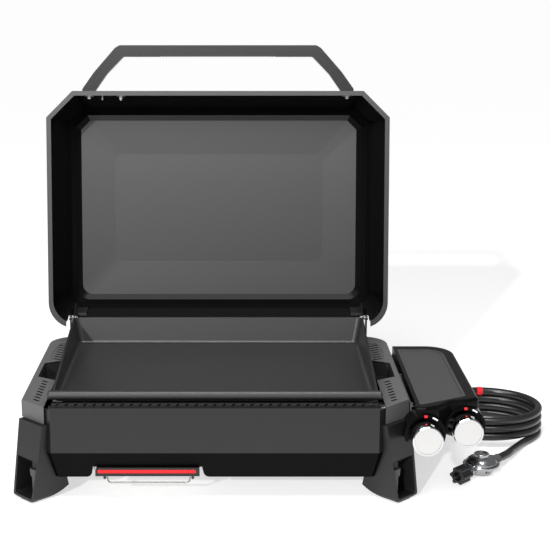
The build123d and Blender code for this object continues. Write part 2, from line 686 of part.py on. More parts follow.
for side, nm in ((-1, "left"), (1, "right")):
    with BuildPart() as hinge_bracket:
        x0 = HINGE_X - 1.5 if side > 0 else -HINGE_X - 1.5
        with BuildSketch(Plane.YZ.offset(x0)):
            with BuildLine():
                Polyline((LID_Y - 7.6, 122), (LID_Y + 7.3, 122), (LID_Y + 7.3, 196), (LID_Y + 7.8, LID_Z),
                         (LID_Y - 7.8, LID_Z), (LID_Y - 7.6, 196), close=True)
            make_face()
            with Locations((LID_Y, LID_Z)):
                Circle(7.8)
                Circle(3.1, mode=Mode.SUBTRACT)
        extrude(amount=3)
        with Locations((side * 268.2, 396.4, 136)):
            Box(41.6, 2.0, 28)
        with Locations((side * 260, 398.45, 136)):
            Box(24, 2.1, 28)
    hinge_bracket.part.label = f"hinge_bracket_{nm}"
    export_step(hinge_bracket.part.moved(SHIFT), f"parts/hinge_bracket_{nm}.step")

    with BuildPart() as hinge_lug:
        with BuildSketch(lid_yz(side * 271 - 11)):
            with BuildLine():
                Polyline((0.0, 16.4), (-6.0, 34), (-17.0, 34), (-8.2, 16.4), close=True)
            make_face()
        extrude(amount=22)
        add(lid_inner.part, mode=Mode.INTERSECT)
        with BuildSketch(lid_yz(side * 282.5 - 1.5)):
            with BuildLine():
                Polyline((-8, 0), (-26, 34), (-15.4, 34), (-6.5, 12.6), (8, 0), close=True)
            make_face()
            with Locations((0, 0)):
                Circle(8)
                Circle(3.05, mode=Mode.SUBTRACT)
        extrude(amount=3)
    hinge_lug.part.label = f"hinge_lug_{nm}"
    export_step(hinge_lug.part.moved(SHIFT), f"parts/hinge_lug_{nm}.step")

with BuildPart() as hinge_pins:
    for x, r, l in ((278.6, 3.0, 14.0), (278.4, 5.2, 2.4), (291.2, 4.2, 1.4)):
        with BuildSketch(Plane.YZ.offset(x)):
            with Locations((LID_Y, LID_Z)):
                Circle(r)
        extrude(amount=l)
    mirror(about=Plane.YZ)
hinge_pins.part.label = "hinge_pins"
export_step(hinge_pins.part.moved(SHIFT), "parts/hinge_pins.step")

# ---------------------------------------------------------------- control box
BOX_PTS = [(BOX_L, -44), (350, -46), (372, -36), (398, -8), (424, -4), (BOX_R, 10), (BOX_R, BOX_YR), (BOX_L, BOX_YR)]
with BuildSketch() as box_plan:
    with BuildLine():
        Polyline(*BOX_PTS, close=True)
    make_face()
    fillet(box_plan.vertices().sort_by(lambda v: v.X + v.Y)[-1], 52)
    fillet([v for v in box_plan.vertices() if v.Y < 12 and v.X > 340], 7)
with BuildSketch() as box_plan_in:
    add(box_plan.sketch)
    offset(amount=-2.5, mode=Mode.REPLACE)
TRAY_PTS = [(342, -30), (427, 22), (427, 290), (342, 312)]
with BuildSketch() as tray_plan:
    with BuildLine():
        Polyline((342, -30), (427, 20), (427, 272), (342, 312), close=True)
        # rear edge is square to the box
    make_face()
with BuildSketch() as tray_plan:
    with BuildLine():
        Polyline((342, -30), (427, 20), (427, 312), (342, 312), close=True)
    make_face()
    fillet(tray_plan.vertices().sort_by(lambda v: v.X + v.Y)[-1], 34)
    fillet(tray_plan.vertices().sort_by(lambda v: v.X - v.Y)[-1], 9)
    fillet(tray_plan.vertices().sort_by(lambda v: v.X + v.Y)[0], 4)
with BuildSketch() as tray_plan_in:
    add(tray_plan.sketch)
    offset(amount=-0.3, mode=Mode.REPLACE)
with BuildSketch() as tray_plan_floor:
    add(tray_plan.sketch)
    offset(amount=-5.5, mode=Mode.REPLACE)

with BuildPart() as box_shell:
    with BuildSketch(Plane.XY.offset(BOX_B)):
        add(box_plan.sketch)
    extrude(amount=HT - BOX_B)
    fillet(box_shell.faces().sort_by(Axis.Z)[-1].edges().filter_by(lambda e: e.center().X > BOX_L + 0.5), 6)
    # knob pods blend out of the front
    for px, py, depth in ((POD1[0], POD1[1], 40), (POD2[0], POD2[1], 44)):
        with BuildSketch(Plane.XZ.offset(-py)):
            with Locations((px, POD_Z)):
                Circle(POD_R)
        extrude(amount=-depth)
    with Locations((400, 0, BOX_B - 20)):
        Box(400, 300, 40, mode=Mode.SUBTRACT)
    with BuildSketch(Plane.XY.offset(BOX_B - 1)):
        add(box_plan_in.sketch)
    extrude(amount=HT - BOX_B - 5.0, mode=Mode.SUBTRACT)
    # dial recesses in the pod fronts and the stem holes behind them
    for px, py in (POD1, POD2):
        with BuildSketch(Plane.XZ.offset(-py + 1)):
            with Locations((px, POD_Z)):
                Circle(29.2)
        extrude(amount=-9, mode=Mode.SUBTRACT)
        with BuildSketch(Plane.XZ.offset(-py)):
            with Locations((px, POD_Z)):
                Circle(7.0)
        extrude(amount=-30, mode=Mode.SUBTRACT)
    # tray pocket and gas pipe holes
    with BuildSketch(Plane.XY.offset(HT - 3.0)):
        add(tray_plan.sketch)
    extrude(amount=6, mode=Mode.SUBTRACT)
    with Locations((BOX_L + 1, 95, 117.5), (BOX_L + 1, 265, 117.5)):
        Box(6, 12, 15, mode=Mode.SUBTRACT)
    # keep off the cook box, its leg and the dial plates
    with BuildSketch(Plane.XY.offset(60)):
        add(DECK_OUT)
        offset(amount=1.5, mode=Mode.REPLACE)
    extrude(amount=120, mode=Mode.SUBTRACT)
    add(leg_room_right, mode=Mode.SUBTRACT)
    with BuildSketch(Plane.XZ.offset(-POD2[1] + 50)):
        with Locations((POD2[0], POD_Z)):
            Circle(34.6)
    extrude(amount=-50, mode=Mode.SUBTRACT)
with BuildPart() as control_box:
    add(box_shell.solids().sort_by(SortBy.VOLUME)[-1])
control_box.part.label = "control_box"
export_step(control_box.part.moved(SHIFT), "parts/control_box.step")

with BuildPart() as box_tray:
    with BuildSketch(Plane.XY.offset(HT - 3.0)):
        add(tray_plan_in.sketch)
    extrude(amount=2.6)
    with BuildSketch(Plane.XY.offset(HT - 1.8)):
        add(tray_plan_floor.sketch)
    extrude(amount=3, mode=Mode.SUBTRACT)
box_tray.part.label = "control_box_tray"
export_step(box_tray.part.moved(SHIFT), "parts/control_box_tray.step")

with BuildSketch() as base_plan:
    add(box_plan.sketch)
    offset(amount=-2.8, mode=Mode.REPLACE)
with BuildPart() as box_base:
    with BuildSketch(Plane.XY.offset(BOX_B + 0.2)):
        add(base_plan.sketch)
        with Locations((400, -58)):
            Rectangle(900, 200, mode=Mode.SUBTRACT)
        with Locations((385, 60)):
            Circle(11, mode=Mode.SUBTRACT)
        with GridLocations(9, 1, 5, 1):
            with Locations((392, 300)):
                SlotOverall(26, 4, rotation=90, mode=Mode.SUBTRACT)
    extrude(amount=1.5)
box_base.part.label = "control_box_base"
export_step(box_base.part.moved(SHIFT), "parts/control_box_base.step")

with BuildPart() as bezels:
    for px, py in (POD1, POD2):
        with BuildSketch(Plane.XZ.offset(-py + 1.6)):
            with Locations((px, POD_Z)):
                Circle(34.0)
                Circle(29.2, mode=Mode.SUBTRACT)
            with Locations((px, BOX_B - 20)):
                Rectangle(90, 40, mode=Mode.SUBTRACT)
        extrude(amount=-1.6)
bezels.part.label = "dial_bezels"
export_step(bezels.part.moved(SHIFT), "parts/dial_bezels.step")

with BuildPart() as dial_marks:
    for px, py in (POD1, POD2):
        with BuildSketch(Plane.XZ.offset(-py + 1.6)):
            with Locations(Location((px, POD_Z, 0), 0)):
                with PolarLocations(31.6, 1, start_angle=90):
                    Rectangle(4.4, 5.4)
        extrude(amount=0.4)
    for px, py in (POD1, POD2):
        with BuildSketch(Plane.XZ.offset(-py + 1.6)):
            with Locations(Location((px, POD_Z, 0), 0)):
                with PolarLocations(31.6, 3, start_angle=66, angular_range=-16):
                    Rectangle(2.6, 3.6)
        extrude(amount=0.4)
dial_marks.part.label = "dial_marks"
export_step(dial_marks.part.moved(SHIFT), "parts/dial_marks.step")

KNOB_R = 25.25
for nm, (px, py), vy in (("left", POD1, -34.0), ("right", POD2, 12.0)):
    front = py - 37.5
    with BuildPart() as knob_skirt:
        with BuildSketch(Plane.XZ.offset(-(front + 17.6))):
            with Locations((px, POD_Z)):
                Circle(23.0)
        extrude(amount=-17.4)
        with BuildSketch(Plane.XZ.offset(-(front + 17.0))):
            with Locations((px, POD_Z)):
                Circle(4.05)
        extrude(amount=-19, mode=Mode.SUBTRACT)
        with Locations((px, front + 33, POD_Z + 6.0)):
            Box(2.5, 4, 3, mode=Mode.SUBTRACT)
    knob_skirt.part.label = f"knob_skirt_{nm}"
    export_step(knob_skirt.part.moved(SHIFT), f"parts/knob_skirt_{nm}.step")
    with BuildPart() as knob_barrel:
        with BuildSketch(Plane.XZ.offset(-front)):
            with Locations((px, POD_Z)):
                Circle(KNOB_R)
        extrude(amount=-17.6)
        chamfer(knob_barrel.edges().filter_by(GeomType.CIRCLE).group_by(Axis.Y)[0], 1.6)
        with BuildSketch(Plane.XZ.offset(-front)):
            with Locations((px, POD_Z)):
                Circle(21.6)
        extrude(amount=-2.0, mode=Mode.SUBTRACT)
        with BuildSketch(Plane.XZ.offset(-(front + 9))):
            with Locations((px, POD_Z)):
                Circle(4.05)
        extrude(amount=-12, mode=Mode.SUBTRACT)
    knob_barrel.part.label = f"knob_barrel_{nm}"
    export_step(knob_barrel.part.moved(SHIFT), f"parts/knob_barrel_{nm}.step")
    with BuildPart() as knob_cap:
        with BuildSketch(Plane.XZ.offset(-(front + 0.7))):
            with Locations((px, POD_Z)):
                Circle(21.4)
        extrude(amount=-1.3)
    knob_cap.part.label = f"knob_cap_{nm}"
    export_step(knob_cap.part.moved(SHIFT), f"parts/knob_cap_{nm}.step")
    with BuildPart() as stem:
        with BuildSketch(Plane.XZ.offset(-(front + 9.6))):
            with Locations((px, POD_Z)):
                Circle(4.0)
        extrude(amount=-(vy + 20 - front - 9.6))
        with BuildSketch(Plane.XZ.offset(-(vy - 9))):
            with Locations((px, POD_Z)):
                Circle(5.6)
        extrude(amount=-1.2)
    stem.part.label = f"valve_stem_{nm}"
    export_step(stem.part.moved(SHIFT), f"parts/valve_stem_{nm}.step")

with BuildPart() as gas_valves:
    for px, vy in ((POD1[0], -34.0), (POD2[0], 12.0)):
        with Locations((px, vy + 21, POD_Z)):
            Box(20, 42, 20)
        with BuildSketch(Plane.XZ.offset(-(vy - 3.5))):
            with Locations((px, POD_Z)):
                Circle(7.5)
        extrude(amount=-4)
        with BuildSketch(Plane.XZ.offset(-(vy - 4))):
            with Locations((px, POD_Z)):
                Circle(4.1)
        extrude(amount=-32, mode=Mode.SUBTRACT)
    chamfer(gas_valves.edges().filter_by(Axis.Y).filter_by(lambda e: e.length > 38), 2)
gas_valves.part.label = "gas_valves"
export_step(gas_valves.part.moved(SHIFT), "parts/gas_valves.step")

with BuildPart() as manifold:
    with BuildSketch(Plane.YZ.offset(POD1[0] + 10)):
        with Locations((2, POD_Z)):
            Circle(4.5)
    extrude(amount=385 - POD1[0] - 10 + 4.5)
    with BuildSketch(Plane.YZ.offset(385)):
        with Locations((34, POD_Z)):
            Circle(4.5)
    extrude(amount=POD2[0] - 10 - 385)
    with BuildSketch(Plane.XZ.offset(3)):
        with Locations((385, POD_Z)):
            Circle(4.5)
    extrude(amount=-68)
    with BuildSketch(Plane.XY.offset(93)):
        with Locations((385, 60)):
            Circle(7.5)
    extrude(amount=34)
manifold.part.label = "gas_manifold"
export_step(manifold.part.moved(SHIFT), "parts/gas_manifold.step")

for nm, (px, y0, y1, r) in (("front", (POD1[0], 8.6, 95, 9)), ("rear", (POD2[0], 54.6, 265, 14))):
    with BuildPart() as gas_pipe:
        with BuildLine() as path:
            FilletPolyline((px, y0, POD_Z), (px, y1, POD_Z - 5), (332.5, y1, 118), radius=r)
        with BuildSketch(Plane(origin=(px, y0, POD_Z), z_dir=path.line % 0)):
            Circle(3.2)
        sweep()
    gas_pipe.part.label = f"gas_pipe_{nm}"
    export_step(gas_pipe.part.moved(SHIFT), f"parts/gas_pipe_{nm}.step")

# bright bracket that ties the control box to the cook box
with BuildPart() as side_bracket:
    with Locations((330.0, 81, 140)):
        Box(1.6, 178, 44)
    with BuildSketch(Plane.YZ.offset(328)):
        with Locations((95, 118)):
            Circle(11)
    extrude(amount=6, mode=Mode.SUBTRACT)
    for y in (-2.0, 164.0):
        with Locations((332.0, y, 158)):
            Box(4.2, 8, 2)
        with BuildSketch(Plane.XY.offset(158)):
            with Locations((332.2, y)):
                Circle(1.9)
        extrude(amount=4.5)
    add(leg_room_right, mode=Mode.SUBTRACT)
side_bracket.part.label = "side_bracket"
export_step(side_bracket.part.moved(SHIFT), "parts/side_bracket.step")
# ---------------------------------------------------------------- hose and regulator
with BuildPart() as hose_inlet:
    with BuildSketch(Plane.XY.offset(86)):
        with Locations((385, 60)):
            RegularPolygon(11, 6)
    extrude(amount=22)
    with BuildSketch(Plane.XZ.offset(-60)):
        with Locations((385, 97)):
            Circle(6.5)
    extrude(amount=-22)
    with BuildSketch(Plane.XZ.offset(-78)):
        with Locations((385, 97)):
            RegularPolygon(10.5, 6)
    extrude(amount=-12)
    with BuildSketch(Plane.XZ.offset(-90)):
        with Locations((385, 97)):
            Circle(8.8)
    extrude(amount=-24)
    with BuildSketch(Plane.XY.offset(92.9)):
        with Locations((385, 60)):
            Circle(7.6)
    extrude(amount=30, mode=Mode.SUBTRACT)
hose_inlet.part.label = "hose_inlet"
export_step(hose_inlet.part.moved(SHIFT), "parts/hose_inlet.step")

HOSE_R = HOSE_D / 2
PITCH = 15.2
COIL_TOP = HOSE_R + 0.05 + PITCH * 1300 / 360
with BuildPart() as hose_coil:
    with BuildSketch():
        with Locations((COIL_X, COIL_Y)):
            Ellipse(COIL_A + HOSE_R, COIL_B + HOSE_R)
            Ellipse(COIL_A - HOSE_R, COIL_B - HOSE_R, mode=Mode.SUBTRACT)
    extrude(amount=COIL_TOP + HOSE_R)
hose_coil.part.label = "hose_coil"
export_step(hose_coil.part.moved(SHIFT), "parts/hose_coil.step")


def route_radii(pts):
    """Largest tangent arc for each corner of a route: 0.45 of the shorter run."""
    out = []
    for p, q, r in zip(pts, pts[1:], pts[2:]):
        a, b = Vector(*q) - Vector(*p), Vector(*r) - Vector(*q)
        half = math.radians(a.get_angle(b)) / 2
        out.append(0.45 * min(a.length, b.length) / math.tan(half))
    return out


LEAD_PTS = [(385, 114, 97), (385, 160, 97), (391, 204, 90), (404, 247, 78), (418, 284, 68.5), (COIL_X - COIL_A, 311, COIL_TOP)]
_end = math.radians(-40)
TAIL_A = (COIL_X + COIL_A * math.cos(_end), COIL_Y + COIL_B * math.sin(_end))
TAIL_B = (REG[0] + REG_U[0] * 52.1, REG[1] + REG_U[1] * 52.1)
d0, d1 = (-0.697, -0.717), (-REG_U[0], -REG_U[1])
TAIL_PTS = []
for k in range(6):
    t = k / 5
    b0, b1, b2, b3 = (1 - t) ** 3, 3 * t * (1 - t) ** 2, 3 * t * t * (1 - t), t ** 3
    c = [TAIL_A[i] * b0 + (TAIL_A[i] + 56 * d0[i]) * b1 + (TAIL_B[i] - 56 * d1[i]) * b2 + TAIL_B[i] * b3 for i in (0, 1)]
    TAIL_PTS.append((c[0], c[1], HOSE_R + 0.05 + 8.5 * max(0, (t - 0.35) / 0.65) ** 1.6))
TAIL_PTS[4] = (TAIL_B[0] + 21.0, TAIL_B[1] + 21.42, 16.05)
TAIL_PTS[3] = (TAIL_PTS[3][0], TAIL_PTS[3][1], 12.6)
TAIL_PTS[2] = (TAIL_PTS[2][0], TAIL_PTS[2][1], 9.0)
TAIL_PTS[5] = (TAIL_B[0], TAIL_B[1], 16.05)
print("lead radii", [round(r) for r in route_radii(LEAD_PTS)], "tail radii", [round(r) for r in route_radii(TAIL_PTS)])
print("tail points", [tuple(round(v, 2) for v in p) for p in TAIL_PTS])

with BuildPart() as hose_lead:
    with BuildLine() as path:
        FilletPolyline(*LEAD_PTS, radius=route_radii(LEAD_PTS))
    with BuildSketch(Plane(origin=LEAD_PTS[0], z_dir=path.line % 0)):
        Circle(HOSE_R)
    sweep()
    add(hose_coil.part, mode=Mode.SUBTRACT)
hose_lead.part.label = "hose_lead"
export_step(hose_lead.part.moved(SHIFT), "parts/hose_lead.step")
with BuildPart() as hose_tail:
    with BuildLine() as path:
        FilletPolyline(*TAIL_PTS, radius=route_radii(TAIL_PTS))
    with BuildSketch(Plane(origin=TAIL_PTS[0], z_dir=path.line % 0)):
        Circle(HOSE_R)
    sweep()
    add(hose_coil.part, mode=Mode.SUBTRACT)
hose_tail.part.label = "hose_tail"
export_step(hose_tail.part.moved(SHIFT), "parts/hose_tail.step")

REG_Z = 16.05
U = Vector(REG_U[0], REG_U[1], 0).normalized()
RC = Vector(REG[0], REG[1], 0)


def reg_axis(d, z=REG_Z):
    """Plane across the regulator's through axis, d from its middle towards the hose."""
    return Plane(origin=RC + U * d + Vector(0, 0, z), x_dir=Vector(-U.Y, U.X, 0), z_dir=U)


with BuildPart() as reg_body:
    with BuildSketch(Plane.XY.offset(3.5)):
        with Locations((REG[0], REG[1])):
            Circle(19)
    extrude(amount=14, taper=-28)
    with BuildSketch(Plane.XY.offset(17.5)) as s:
        with Locations((REG[0], REG[1])):
            Circle(32.5)
        with Locations((REG[0] + U.X * 30, REG[1] + U.Y * 30)):
            Circle(20)
    extrude(amount=4.5)
    fillet(reg_body.edges().group_by(Axis.Z)[-1], 1.2)
    with BuildSketch(reg_axis(-36)):
        Circle(8)
    extrude(amount=40)
    with BuildSketch(reg_axis(0)):
        Circle(8.6)
    extrude(amount=52)
    with BuildSketch(reg_axis(-55.0)):
        Circle(6)
    extrude(amount=22)
    with BuildSketch(Plane.XY.offset(22)):
        with Locations((REG[0], REG[1])):
            Circle(28.3)
    extrude(amount=15, mode=Mode.SUBTRACT)
reg_body.part.label = "regulator_body"
export_step(reg_body.part.moved(SHIFT), "parts/regulator_body.step")
with BuildPart() as reg_dome:
    with BuildSketch(Plane.XZ) as s:
        with BuildLine():
            Polyline((0, 22), (28, 22), (28, 24.5))
            ThreePointArc((28, 24.5), (22, 31.5), (13.5, 35))
            Polyline((13.5, 35), (0, 35), (0, 22))
        make_face()
    revolve(axis=Axis.Z)
with BuildPart() as regulator_dome:
    add(reg_dome.part.moved(Location((REG[0], REG[1], 0))))
regulator_dome.part.label = "regulator_dome"
export_step(regulator_dome.part.moved(SHIFT), "parts/regulator_dome.step")
with BuildPart() as reg_cap:
    with BuildSketch(Plane.XY.offset(35)):
        with Locations((REG[0], REG[1])):
            Circle(13.3)
    extrude(amount=5.5)
    fillet(reg_cap.edges().group_by(Axis.Z)[-1], 1.5)
    with BuildSketch(Plane.XY.offset(39)):
        with Locations((REG[0], REG[1])):
            Circle(9.5)
    extrude(amount=3, mode=Mode.SUBTRACT)
reg_cap.part.label = "regulator_cap"
export_step(reg_cap.part.moved(SHIFT), "parts/regulator_cap.step")
with BuildPart() as reg_screws:
    for p in (1, -1):
        c = RC + Vector(-U.Y, U.X, 0) * (p * 24) + U * -14
        with BuildSketch(Plane(origin=c + Vector(0, 0, 11.5))):
            RegularPolygon(4.2, 6)
        extrude(amount=2.2)
        with BuildSketch(Plane(origin=c + Vector(0, 0, 13.5))):
            Circle(2.4)
        extrude(amount=4.0)
    add(reg_body.part, mode=Mode.SUBTRACT)
    with BuildSketch(reg_axis(-57.8)):
        Circle(3.4)
    extrude(amount=2.7)
reg_screws.part.label = "regulator_probe_screws"
export_step(reg_screws.part.moved(SHIFT), "parts/regulator_probe_screws.step")
with BuildPart() as reg_nut:
    with BuildSketch(reg_axis(-72)) as s:
        Circle(12.2)
        with PolarLocations(12.0, 6):
            Circle(3.9)
    extrude(amount=26)
    with BuildSketch(reg_axis(-73)):
        Circle(8.5)
    extrude(amount=15, mode=Mode.SUBTRACT)
    with BuildSketch(reg_axis(-59)):
        Circle(6.2)
    extrude(amount=14, mode=Mode.SUBTRACT)
reg_nut.part.label = "regulator_nut"
export_step(reg_nut.part.moved(SHIFT), "parts/regulator_nut.step")
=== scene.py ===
import bpy, bmesh, math
from mathutils import Vector, Matrix


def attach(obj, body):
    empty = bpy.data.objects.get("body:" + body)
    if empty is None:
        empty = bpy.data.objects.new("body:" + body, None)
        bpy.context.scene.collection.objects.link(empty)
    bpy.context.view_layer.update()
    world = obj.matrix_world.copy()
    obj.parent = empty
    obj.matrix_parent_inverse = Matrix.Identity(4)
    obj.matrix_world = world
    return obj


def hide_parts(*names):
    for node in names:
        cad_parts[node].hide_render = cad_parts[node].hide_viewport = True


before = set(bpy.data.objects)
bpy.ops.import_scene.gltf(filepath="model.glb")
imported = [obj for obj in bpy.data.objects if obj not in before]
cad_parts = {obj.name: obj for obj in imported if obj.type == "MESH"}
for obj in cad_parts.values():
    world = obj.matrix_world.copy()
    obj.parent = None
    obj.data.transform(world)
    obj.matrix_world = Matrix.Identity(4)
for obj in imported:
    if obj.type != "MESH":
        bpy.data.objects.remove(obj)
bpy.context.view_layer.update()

X0, Y0 = 51.5, 210.85            # modelling offset used below, mm


def P(x, y, z):
    """A point in the modelling frame, mm, as metres in the row frame."""
    return Vector(((x - X0) / 1000, (y - Y0) / 1000, z / 1000))


# ------------------------------------------------------------------ materials
def mat(name, col, rough=0.5, metal=0.0, coat=0.0, coat_rough=0.1, spec=0.5, grain=0.0, grain_scale=900.0,
        bump=0.0, col_var=0.0, var_scale=14.0, rough_var=0.0, wave=False, fine=None):
    m = bpy.data.materials.new(name)
    m.use_nodes = True
    nt = m.node_tree
    nt.nodes.clear()
    out = nt.nodes.new("ShaderNodeOutputMaterial")
    bs = nt.nodes.new("ShaderNodeBsdfPrincipled")
    nt.links.new(bs.outputs[0], out.inputs[0])
    bs.inputs["Metallic"].default_value = metal
    bs.inputs["Coat Weight"].default_value = coat
    bs.inputs["Coat Roughness"].default_value = coat_rough
    bs.inputs["Specular IOR Level"].default_value = spec
    tc = nt.nodes.new("ShaderNodeTexCoord")
    big = nt.nodes.new("ShaderNodeTexNoise")
    big.inputs["Scale"].default_value = var_scale
    big.inputs["Detail"].default_value = 5
    nt.links.new(tc.outputs["Object"], big.inputs["Vector"])
    ramp = nt.nodes.new("ShaderNodeMix")
    ramp.data_type = "RGBA"
    ramp.inputs["A"].default_value = (*[c * (1 - col_var) for c in col], 1)
    ramp.inputs["B"].default_value = (*[min(1, c * (1 + col_var)) for c in col], 1)
    nt.links.new(big.outputs["Fac"], ramp.inputs["Factor"])
    nt.links.new(ramp.outputs["Result"], bs.inputs["Base Color"])
    small = nt.nodes.new("ShaderNodeTexNoise")
    small.inputs["Scale"].default_value = grain_scale
    small.inputs["Detail"].default_value = 3
    vec = tc.outputs["Object"]
    if wave:
        mp = nt.nodes.new("ShaderNodeMapping")
        mp.inputs["Scale"].default_value = fine or (1, 1, 40)
        nt.links.new(tc.outputs["Object"], mp.inputs["Vector"])
        vec = mp.outputs["Vector"]
    nt.links.new(vec, small.inputs["Vector"])
    mr = nt.nodes.new("ShaderNodeMapRange")
    mr.inputs["To Min"].default_value = max(0.0, rough - rough_var)
    mr.inputs["To Max"].default_value = min(1.0, rough + rough_var)
    nt.links.new(small.outputs["Fac"], mr.inputs["Value"])
    nt.links.new(mr.outputs["Result"], bs.inputs["Roughness"])
    if bump > 0:
        b = nt.nodes.new("ShaderNodeBump")
        b.inputs["Strength"].default_value = min(1.0, grain)
        b.inputs["Distance"].default_value = bump
        nt.links.new(small.outputs["Fac"], b.inputs["Height"])
        nt.links.new(b.outputs["Normal"], bs.inputs["Normal"])
    return m


M = {
    "body": mat("body_paint", (0.005, 0.005, 0.0052), rough=0.38, rough_var=0.04, spec=0.40, grain=0.25, bump=0.00005, grain_scale=1500, col_var=0.08),
    "deck": mat("deck_paint", (0.075, 0.075, 0.076), rough=0.50, rough_var=0.05, spec=0.5, grain=0.30, bump=0.00006, grain_scale=1500, col_var=0.06),
    "plate": mat("plate_coat", (0.014, 0.014, 0.0145), rough=0.42, rough_var=0.06, spec=0.45, grain=0.40, bump=0.00007, grain_scale=1100, col_var=0.10, var_scale=9),
    "lid": mat("lid_enamel", (0.004, 0.004, 0.0041), rough=0.44, rough_var=0.03, spec=0.60, coat=0.0, grain=0.05, bump=0.00002, grain_scale=700, col_var=0.05),
    "handle": mat("handle_paint", (0.004, 0.004, 0.0042), rough=0.34, rough_var=0.04, spec=0.28, grain=0.25, bump=0.00004, grain_scale=1600, col_var=0.06),
    "leg": mat("leg_plastic", (0.006, 0.006, 0.0063), rough=0.48, rough_var=0.06, spec=0.34, grain=0.45, bump=0.00010, grain_scale=1300, col_var=0.08),
    "box": mat("box_plastic", (0.002, 0.002, 0.0021), rough=0.27, rough_var=0.03, spec=0.07, grain=0.15, bump=0.00002, grain_scale=1500, col_var=0.06),
    "tray": mat("tray_insert", (0.044, 0.044, 0.045), rough=0.44, rough_var=0.05, spec=0.35, grain=0.22, bump=0.00003, grain_scale=1700, col_var=0.06),
    "black": mat("black_plastic", (0.005, 0.005, 0.005), rough=0.42, rough_var=0.05, spec=0.4, grain=0.4, bump=0.0001, grain_scale=1200),
    # painted shade: near-black material for recesses (finger cups, vent slot walls)
    "cavity": mat("recess_painted_shade", (0.004, 0.004, 0.004), rough=0.7, rough_var=0.05, spec=0.25, grain=0.4, bump=0.0001, grain_scale=900),
    "chrome": mat("chrome", (0.60, 0.60, 0.61), rough=0.10, rough_var=0.02, metal=1.0, grain=0.05, bump=0.00002, grain_scale=600),
    # painted shade: darker, low-specular copy of the body paint for the lower front slope
    "shade": mat("body_lower_painted_shade", (0.0015, 0.0015, 0.0016), rough=0.40, rough_var=0.04, spec=0.04, grain=0.25, bump=0.00005, grain_scale=1500, col_var=0.08),
    # painted shade: darker, low-specular copy of the lid enamel for the lid's inner side walls and bevels
    "lidwall": mat("lid_wall_painted_shade", (0.002, 0.002, 0.0021), rough=0.18, rough_var=0.03, spec=0.05, grain=0.06, bump=0.00002, grain_scale=700, col_var=0.05),
    "post": mat("leg_post", (0.040, 0.040, 0.041), rough=0.5, rough_var=0.05, grain=0.4, bump=0.00008, grain_scale=1300, col_var=0.06),
    "valve": mat("cast_dark", (0.020, 0.020, 0.021), rough=0.60, rough_var=0.06, metal=0.3, spec=0.2, grain=0.3, bump=0.00006, grain_scale=900, col_var=0.10),
    "tagred": mat("tag_red", (0.95, 0.020, 0.026), rough=0.45, rough_var=0.04, spec=0.25, grain=0.1, bump=0.00002, grain_scale=900, col_var=0.03),
    "bracket": mat("bracket_steel", (0.20, 0.195, 0.19), rough=0.45, rough_var=0.06, metal=0.9, grain=0.2, bump=0.00003, grain_scale=900, col_var=0.06),
    "ring": mat("knob_rim", (0.26, 0.26, 0.265), rough=0.16, rough_var=0.03, metal=1.0, grain=0.05, bump=0.00001, grain_scale=600),
    "face": mat("knob_face", (0.57, 0.565, 0.555), rough=0.38, rough_var=0.05, metal=0.9, grain=0.15, bump=0.00002, grain_scale=900, col_var=0.02),
    "steel": mat("bright_steel", (0.26, 0.26, 0.26), rough=0.30, rough_var=0.06, metal=1.0, grain=0.15, bump=0.00002, grain_scale=900, col_var=0.05),
    "dullsteel": mat("burner_steel", (0.35, 0.34, 0.33), rough=0.42, rough_var=0.08, metal=1.0, grain=0.3, bump=0.00005, grain_scale=900, col_var=0.12),
    "brass": mat("brass", (0.60, 0.42, 0.17), rough=0.32, rough_var=0.06, metal=1.0, grain=0.2, bump=0.00003, grain_scale=900, col_var=0.06),
    "red": mat("red_plastic", (0.52, 0.010, 0.013), rough=0.38, rough_var=0.04, spec=0.25, coat=0.0, grain=0.1, bump=0.00002, grain_scale=900, col_var=0.03),
    "white": mat("dial_mark_white", (0.80, 0.80, 0.80), rough=0.5, rough_var=0.04, grain=0.1, bump=0.00001, grain_scale=900),
    "redmark": mat("red_print", (0.68, 0.012, 0.018), rough=0.5, rough_var=0.04, grain=0.1, bump=0.00001, grain_scale=900),
    "hose": mat("hose_rubber", (0.008, 0.008, 0.0083), rough=0.33, rough_var=0.05, grain=0.35, bump=0.00006, grain_scale=700, col_var=0.08),
    "zinc": mat("cast_zinc", (0.36, 0.365, 0.375), rough=0.27, rough_var=0.08, metal=1.0, grain=0.4, bump=0.00010, grain_scale=420, col_var=0.14, var_scale=60),
    "nut": mat("nut_plastic", (0.006, 0.006, 0.0062), rough=0.45, rough_var=0.05, grain=0.5, bump=0.0001, grain_scale=900),
    "rubber": mat("foot_rubber", (0.02, 0.02, 0.02), rough=0.8, rough_var=0.05, grain=0.6, bump=0.0002, grain_scale=700),
}
